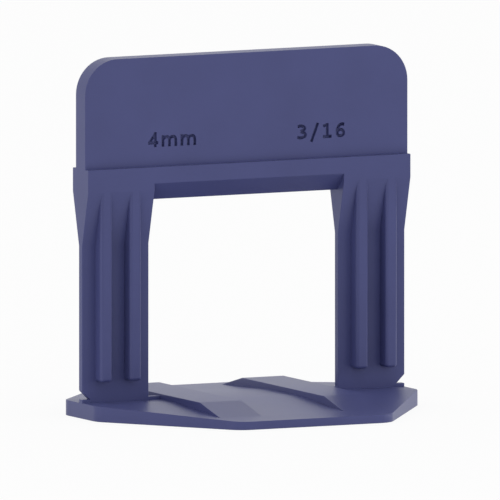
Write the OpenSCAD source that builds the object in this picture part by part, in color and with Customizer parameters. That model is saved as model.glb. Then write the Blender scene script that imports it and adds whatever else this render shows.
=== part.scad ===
// Tile levelling clip, one plastic moulding.
// The base lies under two neighbouring tiles, and the legs with their ribs stand in the joint between them.
// A wedge driven through the window pulls both tiles level, and the clip is then snapped off at the notches.
// Front is -Y, up is +Z, and the origin is the middle of the base's underside. Millimetres.

/* [Joint and window] */
// Joint width that the clip sets: its thickness across the ribs and the crossbar
joint_w = 4.76; // [3:0.01:6.5]
// Width across the two legs
clip_w = 48; // [44:0.5:60]
// Width of the window between the legs
window_w = 28.2; // [20:0.1:32]
// Height of the window, from the top of the base to the ridge above it
window_h = 26.9; // [20:0.1:40]

/* [Tab] */
// Thickness of the tab
tab_t = 2.9; // [1.5:0.1:4]
// Height of the tab above the crossbar
tab_h = 14.7; // [8:0.1:30]
// Radius of the tab's top corners
tab_r = 4.8; // [0.5:0.1:7]

/* [Crossbar] */
// Height of the crossbar's upright faces
bar_face_h = 2.2; // [1:0.1:6]
// Height of the V under the crossbar, from its upright faces down to the ridge
ridge_h = 2.4; // [0.5:0.1:4]

/* [Legs] */
// Height of each leg's full-thickness head, down from the top of the crossbar
head_h = 3.1; // [1:0.1:8]
// Height over which each leg thins below its head
taper_h = 7.3; // [2:0.1:9]
// Thickness of the thin web that each leg comes down to
web_t = 1; // [0.6:0.05:2]

/* [Ribs] */
// Width of each rib
rib_w = 1.75; // [1:0.05:3]
// Distance between the middles of the two ribs on a face of a leg
rib_pitch = 4.32; // [3.2:0.02:5.4]
// Radius of the ribs' long edges and lower ends
rib_r = 0.45; // [0.1:0.05:0.45]
// Height of the ribs' lower ends above the base
rib_foot = 2.85; // [2:0.05:6]

/* [Break notch] */
// Depth of the notch in the outer edge of each leg
notch_d = 1.2; // [0.4:0.1:3]
// Height above the base of the foot that each leg breaks away from
foot_h = 0.46; // [0.2:0.01:1.5]

/* [Base] */
// Depth of the base from front to back
base_d = 45.5; // [40:0.5:70]
// Length of the base's side edges
base_side = 9.5; // [5:0.1:20]
// Length of the base's front and back edges
base_front = 22.4; // [16:0.1:34]
// Radius of the base's corners
base_r = 3; // [0.5:0.1:4]
// Thickness of the base under the legs
base_t = 2.1; // [1.5:0.05:4]
// Thickness of the base at its front and back edges
base_rim = 1.12; // [0.6:0.02:1.4]
// Length of the level part of the base's top, from front to back
base_flat = 9.5; // [4:0.1:20]

/* [Rails] */
// Width of each rail on the base
rail_w = 6.22; // [2:0.02:8]
// Clear width between the two rails
rail_gap = 12.26; // [6:0.02:16]
// Height of the rails above the base
rail_rise = 0.73; // [0.3:0.01:1.5]
// Length of the rails' level tops
rail_flat = 25; // [12:0.5:26]
// Length of the ramp at each end of a rail
rail_ramp = 6.25; // [2:0.05:7]

/* [Hidden] */
plastic = "#50547E";
$fn = 64;

// Places across the clip
leg_w = (clip_w - window_w) / 2;
leg_x = (clip_w + window_w) / 4;
rail_x = (rail_gap + rail_w) / 2;

// Heights, from the base up
foot_z = base_t + foot_h;
rib_z = base_t + rib_foot;
ridge_z = base_t + window_h;
face_z = ridge_z + ridge_h;
bar_z = face_z + bar_face_h;
head_z = bar_z - head_h;
web_z = head_z - taper_h;
tab_z = bar_z + tab_h;
rail_z = base_t + rail_rise;

// Depth at which what stands on the base is rooted in it
root_z = base_rim / 2;

// Fall of the base's top for each millimetre towards its front or back edge
base_fall = (base_t - base_rim) / ((base_d - base_flat) / 2);

// A rail's ramp meets the base's top at its end, and runs on below it to the root
ramp_y = rail_flat / 2 + rail_ramp;
ramp_z = base_t - base_fall * max(0, ramp_y - base_flat / 2);
ramp_run = rail_ramp / (rail_z - ramp_z);
rail_root_y = ramp_y + ramp_run * (ramp_z - root_z);

// Corners of the base, counter-clockwise, from the right-hand side's front end
base_quarter = [[clip_w / 2, base_side / 2], [base_front / 2, base_d / 2]];
base_corners = concat(
    [[clip_w / 2, -base_side / 2]],
    base_quarter,
    [[-base_front / 2, base_d / 2], [-clip_w / 2, base_side / 2]],
    -base_quarter,
    [[base_front / 2, -base_d / 2]]
);

// Direction from corner i of an outline to the next one, or the one before with step = -1
function towards(p, i, step) =
    let (v = p[(i + step + len(p)) % len(p)] - p[i]) v / norm(v);

// Half of the angle inside corner i
function half_angle(p, i) = acos(towards(p, i, 1) * towards(p, i, -1)) / 2;

// Point where the arc of radius r at corner i meets the side towards a neighbour
function tangent(p, i, step, r) = p[i] + towards(p, i, step) * r / tan(half_angle(p, i));

// Middle of the arc of radius r at corner i
function arc_centre(p, i, r) =
    let (inward = towards(p, i, 1) + towards(p, i, -1))
    p[i] + inward / norm(inward) * r / sin(half_angle(p, i));

// The right half of a profile, from the bottom up, with its mirror image
function both_halves(right) =
    concat(right, [for (i = [len(right) - 1 : -1 : 0]) [-right[i].x, right[i].y]]);

// A convex outline with its corners rounded, each by its own radius or left sharp at 0
module rounded_outline(corners, radii) {
    last = len(corners) - 1;
    polygon([for (i = [0 : last], step = radii[i] > 0 ? [-1, 1] : [1]) tangent(corners, i, step, radii[i])]);
    for (i = [0 : last])
        if (radii[i] > 0)
            translate(arc_centre(corners, i, radii[i])) circle(radii[i]);
}

// Carries a profile drawn in Y and Z along X
module along_x(width) {
    rotate([90, 0, 90]) linear_extrude(width, center = true) children();
}

// Carries an outline drawn in X and Z along Y
module along_y(depth) {
    rotate([90, 0, 0]) linear_extrude(depth, center = true) children();
}

// The flat tab that is struck to break the clip off, rooted in the crossbar
module tab() {
    half = clip_w / 2;
    along_y(tab_t)
        rounded_outline(
            [[-half, face_z], [half, face_z], [half, tab_z], [-half, tab_z]],
            [0, 0, tab_r, tab_r]
        );
}

// The bar over the window, with a V-shaped underside whose ridge rides on the wedge
module crossbar() {
    along_x(clip_w)
        polygon(concat([[0, ridge_z]], both_halves([[joint_w / 2, face_z], [joint_w / 2, bar_z]])));
}

// A rib seen from its front or its side: a tall bar with its two lower corners rounded
module rib_outline(width) {
    half = width / 2;
    rounded_outline(
        [[-half, rib_z], [half, rib_z], [half, face_z], [-half, face_z]],
        [rib_r, rib_r, 0, 0]
    );
}

// A rib, made as a bar through the leg's web that stands out on both faces, flush with the crossbar's.
// It runs up into the leg's head, and its long edges, lower edges and lower corners are all rounded.
module rib() {
    inner_w = rib_w - 2 * rib_r;
    inner_d = joint_w - 2 * rib_r;
    along_x(inner_w) rib_outline(joint_w);
    along_y(inner_d) rib_outline(rib_w);
    translate([0, 0, rib_z + rib_r])
        for (x = [-inner_w / 2, inner_w / 2], y = [-inner_d / 2, inner_d / 2])
            translate([x, y, 0]) {
                sphere(rib_r);
                cylinder(h = face_z - rib_z - rib_r, r = rib_r);
            }
}

// The notch in a leg's outer edge: level below, and rising at 45 degrees to the leg's side
module break_notch() {
    reach = 2 * notch_d;
    translate([clip_w / 2 - notch_d, 0, foot_z])
        along_y(joint_w) polygon([[0, 0], [reach, 0], [reach, reach]]);
}

// The low foot under the right-hand leg, as thick as the leg's web, from the clip's side in to the rail
module foot() {
    side = clip_w / 2;
    along_y(web_t)
        polygon([[rail_x, root_z], [side, root_z], [side, foot_z], [rail_x, foot_z]]);
}

// The right-hand leg: a head as thick as the crossbar, thinning to a web, with ribs on both faces
module leg() {
    difference() {
        translate([leg_x, 0, 0])
            along_x(leg_w)
                polygon(both_halves([
                    [web_t / 2, root_z],
                    [web_t / 2, web_z],
                    [joint_w / 2, head_z],
                    [joint_w / 2, bar_z]
                ]));
        break_notch();
    }
    foot();
    for (side = [-1, 1])
        translate([leg_x + side * rib_pitch / 2, 0, 0])
            rib();
}

// The base plate, level under the legs and falling towards its front and back edges
module base_plate() {
    along_x(clip_w)
        polygon(both_halves([[base_d / 2, 0], [base_d / 2, base_rim], [base_flat / 2, base_t]]));
}

// One rail on the base, with a ramp at each end
module rail() {
    along_x(rail_w)
        polygon(both_halves([[rail_root_y, root_z], [rail_flat / 2, rail_z]]));
}

// The base with its rails, trimmed to an octagon with rounded corners
module base() {
    intersection() {
        linear_extrude(bar_z)
            rounded_outline(base_corners, [for (corner = base_corners) base_r]);
        union() {
            base_plate();
            for (side = [-1, 1])
                translate([side * rail_x, 0, 0])
                    rail();
        }
    }
}

// The whole clip, moulded in one piece
module levelling_clip() {
    color(plastic)
        union() {
            tab();
            crossbar();
            for (left = [0, 1])
                mirror([left, 0, 0])
                    leg();
            base();
        }
}

levelling_clip();
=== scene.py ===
# %% [markdown]
# # A tile levelling clip
# The clip is one piece of moulded plastic: a base that lies under two tiles, two ribbed legs that stand
# in the joint between them, and a tab that is struck off later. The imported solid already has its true
# form, so this lesson gives that form the finish of a moulding: soft edges, engraved sizes and plastic.

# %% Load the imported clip
import math

import bmesh
import bpy
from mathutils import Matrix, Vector


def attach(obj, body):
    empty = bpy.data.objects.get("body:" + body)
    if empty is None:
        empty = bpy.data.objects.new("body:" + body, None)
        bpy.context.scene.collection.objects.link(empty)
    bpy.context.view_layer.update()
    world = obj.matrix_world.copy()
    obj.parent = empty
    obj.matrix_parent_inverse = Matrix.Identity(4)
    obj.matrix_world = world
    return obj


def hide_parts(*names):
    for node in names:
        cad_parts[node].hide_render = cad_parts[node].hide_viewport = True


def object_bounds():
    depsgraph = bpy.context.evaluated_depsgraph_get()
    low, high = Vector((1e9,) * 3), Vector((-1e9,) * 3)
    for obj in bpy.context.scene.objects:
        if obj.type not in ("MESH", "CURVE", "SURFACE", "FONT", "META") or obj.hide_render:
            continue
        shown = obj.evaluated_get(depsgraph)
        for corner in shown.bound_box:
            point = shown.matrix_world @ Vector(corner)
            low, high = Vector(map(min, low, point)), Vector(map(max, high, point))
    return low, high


MM = 0.001

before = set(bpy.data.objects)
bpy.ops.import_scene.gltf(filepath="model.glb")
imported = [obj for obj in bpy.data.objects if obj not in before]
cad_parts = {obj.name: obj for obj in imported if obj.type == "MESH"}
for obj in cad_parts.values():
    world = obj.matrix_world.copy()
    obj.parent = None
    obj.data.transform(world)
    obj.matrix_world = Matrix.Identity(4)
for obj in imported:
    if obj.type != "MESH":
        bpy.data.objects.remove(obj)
cad_low, cad_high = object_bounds()
clip_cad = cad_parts["levelling_clip"]
print("CAD box in mm:", [round(side / MM, 2) for side in cad_high - cad_low])

# %% [markdown]
# ## Camera
# In the reference view, edges that run the same way stay parallel, as in a catalogue drawing. A camera
# with perspective would draw them together, so this one is orthographic: its frame has a width in metres.
# It stands to the left of the clip's front and a little above the floor.

# %% Camera
VIEW_TURN = math.radians(-26.0)
VIEW_RISE = math.radians(6.21)
VIEW_WIDTH = 66.92 * MM
VIEW_CENTRE = Vector((1.0, -0.49, 21.55)) * MM
VIEW_DISTANCE = 0.3


def direction(turn, rise):
    """The way from the clip to what stands at a turn and a rise from its front."""
    return Vector((math.sin(turn) * math.cos(rise), -math.cos(turn) * math.cos(rise), math.sin(rise)))


def looking_back(turn, rise):
    """The rotation of a camera or a lamp that stands there and looks back at the clip."""
    return (math.pi / 2 - rise, 0, turn)


bpy.ops.object.camera_add(
    location=VIEW_CENTRE + direction(VIEW_TURN, VIEW_RISE) * VIEW_DISTANCE,
    rotation=looking_back(VIEW_TURN, VIEW_RISE),
)
camera = bpy.context.object
camera.data.type = "ORTHO"
camera.data.ortho_scale = VIEW_WIDTH
bpy.context.scene.camera = camera
print("Camera at", [round(metres, 3) for metres in camera.location])

# %% [markdown]
# ## The moulding
# A solid from CAD comes as loose triangles, with edges as sharp as a drawing. Modelling over it by hand
# would risk its sizes, so a copy is cleaned up instead: the triangles are welded, and those that share a
# flat face are dissolved into it. What is left are the real edges of the moulding.

# %% Copy the solid
def only_select(piece):
    """Selects one object, and makes it the one that operators act on."""
    bpy.ops.object.select_all(action="DESELECT")
    piece.select_set(True)
    bpy.context.view_layer.objects.active = piece


only_select(clip_cad)
bpy.ops.object.duplicate()
clip = bpy.context.object
clip.name = clip.data.name = "clip_moulding"
print("Copied solid:", len(clip.data.polygons), "triangles")

# %% Weld the moulding
WELD = 0.001 * MM
FLAT = math.radians(0.5)


def edit_all(piece):
    """Opens one object in edit mode, with its whole mesh selected."""
    only_select(piece)
    bpy.ops.object.mode_set(mode="EDIT")
    bpy.ops.mesh.select_all(action="SELECT")


edit_all(clip)
bpy.ops.mesh.remove_doubles(threshold=WELD)
bpy.ops.mesh.dissolve_limited(angle_limit=FLAT)
bpy.ops.mesh.customdata_custom_splitnormals_clear()
bpy.ops.object.mode_set(mode="OBJECT")
print("Welded moulding:", len(clip.data.vertices), "points,", len(clip.data.polygons), "faces")

# %% [markdown]
# ## Soft edges
# Plastic shrinks a little as it cools and a steel mould is polished by hand, so no outer edge of a clip
# is truly sharp: each one has a tiny radius that catches the light as a thin line. A bevel on every edge
# would also fill the inner corners, so only the outer ones are selected, by the angle between their
# faces. The ribs' edges have a larger radius of their own already, and are passed over.

# %% Soften the outer edges
EDGE_RADIUS = 0.07 * MM
EDGE_STEPS = 3
OUTER_ANGLE = math.radians(40)
SHORTEST_EDGE = 0.25 * MM

bpy.ops.object.mode_set(mode="EDIT")
bpy.ops.mesh.select_mode(type="EDGE")
bpy.ops.mesh.select_all(action="DESELECT")
mesh = bmesh.from_edit_mesh(clip.data)
outer = [
    edge for edge in mesh.edges
    if edge.calc_face_angle_signed() > OUTER_ANGLE and edge.calc_length() > SHORTEST_EDGE
]
for edge in outer:
    edge.select_set(True)
bmesh.update_edit_mesh(clip.data)
print("Edges to soften:", len(outer))
bpy.ops.mesh.bevel(offset=EDGE_RADIUS, segments=EDGE_STEPS, affect="EDGES", clamp_overlap=False)
bpy.ops.object.mode_set(mode="OBJECT")
print("Softened moulding:", len(clip.data.polygons), "faces")

# %% [markdown]
# ## Size marks
# Low on the tab's front stand the two names of the joint that the clip sets, in millimetres and as a
# fraction of an inch. A mould maker cuts such marks with one small mill that follows the middle of each
# stroke. Blender's own letters could be sunk here too, but their 1 is a bare bar, so every character is
# drawn as the path of that mill: a straight stroke has two points, and a round one a few more.

# %% Strokes of the characters
# The sizes and places of the marks are in millimetres
STROKE = 0.42
DIGIT_HEIGHT = 2.0
LETTER_HEIGHT = 1.52
HALF = STROKE / 2
DIGIT_TOP = DIGIT_HEIGHT - HALF
LETTER_TOP = LETTER_HEIGHT - HALF


def m_arch(left, right):
    """The round shoulder between two stems of the letter m, and the right-hand stem below it."""
    shoulder = [(left, 0.85), (left + 0.16, 1.16), ((left + right) / 2, LETTER_TOP), (right - 0.1, 1.18)]
    return shoulder + [(right, 0.8), (right, 0)]


# The width of each character and the middle lines of its strokes, measured from its left foot
CHARACTERS = {
    "4": (1.52, [
        [(1.08, 0), (1.08, DIGIT_HEIGHT)],
        [(1.08, DIGIT_TOP), (HALF, 0.58)],
        [(0.02, 0.58), (1.52, 0.58)],
    ]),
    "m": (2.32, [[(HALF, 0), (HALF, LETTER_HEIGHT)], m_arch(HALF, 1.16), m_arch(1.16, 2.32 - HALF)]),
    "3": (1.5, [
        [(0.14, 1.72), (0.68, DIGIT_TOP), (1.2, 1.44), (0.6, 1.06)],
        [(0.6, 1.06), (1.5 - HALF, 0.58), (0.68, HALF), (0.08, 0.28)],
    ]),
    "/": (1.3, [[(0.16, -0.4), (1.14, 2.1)]]),
    "1": (1.5, [
        [(0.14, 1.62), (0.74, DIGIT_TOP)],
        [(0.74, DIGIT_HEIGHT), (0.74, 0)],
        [(0.1, HALF), (1.4, HALF)],
    ]),
    "6": (1.4, [
        [(1.28, 1.72), (0.86, DIGIT_TOP), (0.38, 1.46), (HALF, 0.75), (0.4, 0.28), (0.76, HALF)],
        [(0.64, HALF), (1.0, 0.28), (1.4 - HALF, 0.62), (0.72, 1.08), (0.26, 0.84)],
    ]),
}
print("Characters drawn:", " ".join(CHARACTERS))

# %% The sweep of the mill
MARK_DEPTH = 0.55
MARK_FOOT = 36.2
TAB_TOP_BAND = 5.0
BEND_STEPS = 5
ROUND_STEPS = 1

tab_front = min(v.co.y for v in clip.data.vertices if v.co.z > cad_high.z - TAB_TOP_BAND * MM)
print("Tab's front face at y =", round(tab_front / MM, 2), "mm")


def stroke_solid(left, points):
    """The room that the mill sweeps along one stroke, across the tab's front face."""
    curve = bpy.data.curves.new("stroke", "CURVE")
    curve.dimensions = "3D"
    curve.bevel_depth = HALF * MM
    curve.extrude = (MARK_DEPTH - HALF) * MM
    curve.bevel_resolution = ROUND_STEPS
    curve.resolution_u = BEND_STEPS
    curve.use_fill_caps = True
    spline = curve.splines.new("BEZIER")
    spline.bezier_points.add(len(points) - 1)
    for knot, (x, z) in zip(spline.bezier_points, points):
        knot.co = ((left + x) * MM, (MARK_FOOT + z) * MM, 0)
        knot.handle_left_type = knot.handle_right_type = "AUTO"
    solid = bpy.data.objects.new("stroke", curve)
    bpy.context.collection.objects.link(solid)
    solid.rotation_euler = (math.pi / 2, 0, 0)
    solid.location = (0, tab_front, 0)
    return solid


# %% Mill both marks
MARKS = {"4mm": -14.65, "3/16": 7.5}
MARK_GAP = 0.5


def mill(left, points):
    """Cuts one stroke into the moulding."""
    only_select(stroke_solid(left, points))
    bpy.ops.object.convert(target="MESH")
    cutter = bpy.context.object
    edit_all(cutter)
    bpy.ops.mesh.remove_doubles(threshold=WELD)
    bpy.ops.mesh.normals_make_consistent(inside=False)
    bpy.ops.object.mode_set(mode="OBJECT")

    only_select(clip)
    bpy.ops.object.modifier_add(type="BOOLEAN")
    cut = clip.modifiers[-1]
    cut.operation = "DIFFERENCE"
    cut.solver = "MANIFOLD"
    cut.object = cutter
    bpy.ops.object.modifier_apply(modifier=cut.name)
    bpy.data.objects.remove(cutter)


for text, left in MARKS.items():
    for character in text:
        width, strokes = CHARACTERS[character]
        for points in strokes:
            mill(left, points)
        left += width + MARK_GAP
print("Marked moulding:", len(clip.data.polygons), "faces")

# %% Clear the slivers beside the cuts
SLIVER = 0.004 * MM

edit_all(clip)
bpy.ops.mesh.remove_doubles(threshold=SLIVER)
bpy.ops.mesh.dissolve_degenerate(threshold=SLIVER)
bpy.ops.object.mode_set(mode="OBJECT")
print("Without slivers:", len(clip.data.polygons), "faces")

# %% [markdown]
# ## Smooth shading
# A real edge radius turns the light evenly from one face to the next. Shading every face flat would show
# the steps of the bevels, and smoothing them all would bend the light on the wide flat faces, so the faces
# are smoothed by angle, and each corner then takes its direction from the largest face that meets there.

# %% Smooth the shading
CREASE = math.radians(35)

only_select(clip)
bpy.ops.object.shade_smooth_by_angle(angle=CREASE)
bpy.ops.object.modifier_add(type="WEIGHTED_NORMAL")
weighted = clip.modifiers[-1]
weighted.keep_sharp = True
bpy.ops.object.modifier_apply(modifier=weighted.name)
print("Custom normals:", clip.data.has_custom_normals)

# %% [markdown]
# ## Shader arithmetic
# A finish is built from numbers that change over the surface. Linking nodes one by one hides the sums, so
# a small class wraps a socket and lets Python's own signs add the Math nodes.

# %% A socket that can be calculated with
class Value:
    """A socket in a node tree. Arithmetic with it adds Math nodes to that tree."""

    def __init__(self, tree, socket=None):
        self.tree = tree
        self.socket = socket

    def node(self, kind, settings=None, inputs=None, output=0):
        """Adds a node: its settings first, then the values or links of its sockets."""
        made = self.tree.nodes.new(kind)
        for name, setting in (settings or {}).items():
            if name == "stops":
                for stop, (position, colour) in zip(made.color_ramp.elements, setting):
                    stop.position = position
                    stop.color = colour
            else:
                setattr(made, name, setting)
        for name, source in (inputs or {}).items():
            socket = made.inputs[name]
            if isinstance(source, Value):
                self.tree.links.new(source.socket, socket)
            else:
                socket.default_value = source
        return Value(self.tree, made.outputs[output] if made.outputs else None)

    def maths(self, operation, first, second):
        """Adds a Math node for two values, numbers or one of each."""
        return self.node("ShaderNodeMath", {"operation": operation}, {0: first, 1: second})

    def __add__(self, other):
        return self.maths("ADD", self, other)

    def __sub__(self, other):
        return self.maths("SUBTRACT", self, other)

    def __rsub__(self, other):
        return self.maths("SUBTRACT", other, self)

    def __mul__(self, other):
        return self.maths("MULTIPLY", self, other)

    __radd__ = __add__
    __rmul__ = __mul__


def start_tree(owner):
    """Empties the node tree of a material or a world, and returns a value to build from."""
    owner.use_nodes = True
    owner.node_tree.nodes.clear()
    return Value(owner.node_tree)


print("Shader arithmetic ready")

# %% [markdown]
# ## Indigo plastic
# The clip is moulded in polypropylene, coloured right through. The steel of such a mould is spark-eroded,
# which leaves a fine matt grain; the colour is never quite even, because the dye spreads in clouds as the
# plastic flows. One flat colour would look like a drawing, so the finish has those three things: clouds in
# the colour, a slow change of gloss and the grain as a bump. The grain also scatters much of the
# reflection, so the shine is set lower than on polished plastic.

# %% Clouds, gloss and grain
CLOUDS_PER_METRE = 110
CLOUD_LAYERS = 3
GLOSS_PER_METRE = 60
GLOSS_LAYERS = 2
GRAIN_PER_METRE = 6000
GRAIN_LAYERS = 2
NOISE_MIDDLE = 0.5

plastic = bpy.data.materials.new("moulded_indigo")
paint = start_tree(plastic)
place = paint.node("ShaderNodeTexCoord", output="Object")


def noise(per_metre, layers):
    """Noise from 0 to 1 with a given number of spots to the metre, and ever finer layers on them."""
    return paint.node("ShaderNodeTexNoise", None, {"Vector": place, "Scale": per_metre, "Detail": layers})


clouds = noise(CLOUDS_PER_METRE, CLOUD_LAYERS)
gloss = noise(GLOSS_PER_METRE, GLOSS_LAYERS)
grain = noise(GRAIN_PER_METRE, GRAIN_LAYERS)
cloud_mm = 1 / CLOUDS_PER_METRE / MM
grain_mm = 1 / GRAIN_PER_METRE / MM
print(f"Clouds about {cloud_mm:.0f} mm wide, grain {grain_mm:.2f} mm")

# %% Indigo plastic
INDIGO_DEEP = (0.067, 0.0745, 0.199, 1)
INDIGO_PALE = (0.073, 0.0815, 0.218, 1)
DEEP_BELOW = 0.3
PALE_ABOVE = 0.7
ROUGHNESS = 0.38
ROUGHNESS_CHANGE = 0.06
GRAIN_HEIGHT = 0.02 * MM
GRAIN_STRENGTH = 0.6
REFRACTION = 1.49
SHINE = 0.24

colour = paint.node(
    "ShaderNodeValToRGB",
    {"stops": [(DEEP_BELOW, INDIGO_DEEP), (PALE_ABOVE, INDIGO_PALE)]},
    {"Fac": clouds},
)
bump = paint.node(
    "ShaderNodeBump", None,
    {"Height": grain, "Distance": GRAIN_HEIGHT, "Strength": GRAIN_STRENGTH},
)
surface = paint.node("ShaderNodeBsdfPrincipled", None, {
    "Base Color": colour,
    "Roughness": ROUGHNESS + ROUGHNESS_CHANGE * (gloss - NOISE_MIDDLE),
    "IOR": REFRACTION,
    "Specular IOR Level": SHINE,
    "Normal": bump,
})
paint.node("ShaderNodeOutputMaterial", None, {"Surface": surface})

clip.data.materials.clear()
clip.data.materials.append(plastic)
print("Finish:", plastic.name, "with", len(plastic.node_tree.nodes), "nodes")

# %% [markdown]
# ## Studio
# The photograph is lit like a catalogue picture: white from all sides, with no hard shadow. A ring of
# lamps could do that, but a white world is softer and simpler, and two large lamps low at the sides then
# give the ribs some shape. The floor is pale, and to the camera it glows, so that it fades into the white
# background and still takes the clip's soft shadow.

# %% White world
WHITE = (1, 1, 1, 1)
WORLD_LIGHT = 0.79


def looked_at(values):
    """1 for rays from the camera, a reflection or a clear surface, and 0 for rays that carry light."""
    direct, mirrored, through = (
        values.node("ShaderNodeLightPath", output=name)
        for name in ("Is Camera Ray", "Is Glossy Ray", "Is Transmission Ray")
    )
    return direct + mirrored + through


world = bpy.data.worlds.new("white_studio")
bpy.context.scene.world = world
sky = start_tree(world)
background = sky.node("ShaderNodeBackground", None, {
    "Color": WHITE,
    "Strength": WORLD_LIGHT + (1 - WORLD_LIGHT) * looked_at(sky),
})
sky.node("ShaderNodeOutputWorld", None, {"Surface": background})
print("World light:", WORLD_LIGHT)

# %% Pale floor
FLOOR_SIZE = 6.0
FLOOR_COLOUR = (0.95, 0.95, 0.95, 1)
FLOOR_GAP = 0.02 * MM
FLOOR_GLOW = 0.9

bpy.ops.mesh.primitive_plane_add(size=FLOOR_SIZE, location=(0, 0, -FLOOR_GAP))
floor = bpy.context.object
floor.name = "floor"
paper = bpy.data.materials.new("pale_floor")
ground = start_tree(paper)
matt = ground.node("ShaderNodeBsdfDiffuse", None, {"Color": FLOOR_COLOUR})
glow = ground.node("ShaderNodeEmission", None, {"Color": WHITE, "Strength": 1.0})
mixed = ground.node("ShaderNodeMixShader", None, {0: looked_at(ground) * FLOOR_GLOW, 1: matt, 2: glow})
ground.node("ShaderNodeOutputMaterial", None, {"Surface": mixed})
floor.data.materials.append(paper)
print("Floor:", FLOOR_SIZE, "m wide")

# %% Soft lamps
LAMP_SIZE = 0.5
LAMP_DISTANCE = 0.7
LAMP_RISE = math.radians(6)
AIM = Vector((0, 0, 20)) * MM


def soft_lamp(name, degrees, power):
    """A square lamp that faces the clip from low down, turned by some degrees from its front."""
    turn = math.radians(degrees)
    bpy.ops.object.light_add(
        type="AREA",
        location=AIM + direction(turn, LAMP_RISE) * LAMP_DISTANCE,
        rotation=looking_back(turn, LAMP_RISE),
    )
    lamp = bpy.context.object
    lamp.name = name
    lamp.data.size = LAMP_SIZE
    lamp.data.energy = power
    print(name, "lamp:", power, "W")


soft_lamp("left_box", -80, 0.6)
soft_lamp("right_box", 70, 1.4)

# %% [markdown]
# ## Hand the clip over
# The softened moulding now stands for the CAD solid: it rides on the same body, takes the indigo plastic
# and the CAD solid is hidden. The softened moulding now stands for the CAD solid: it rides on the same
# body, takes the same plastic and may not be larger. Colours are shown by the Standard transform, which
# leaves them as they were set.

# %% Hand the clip over
bpy.context.scene.view_settings.view_transform = "Standard"
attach(clip, "root")
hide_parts("levelling_clip")
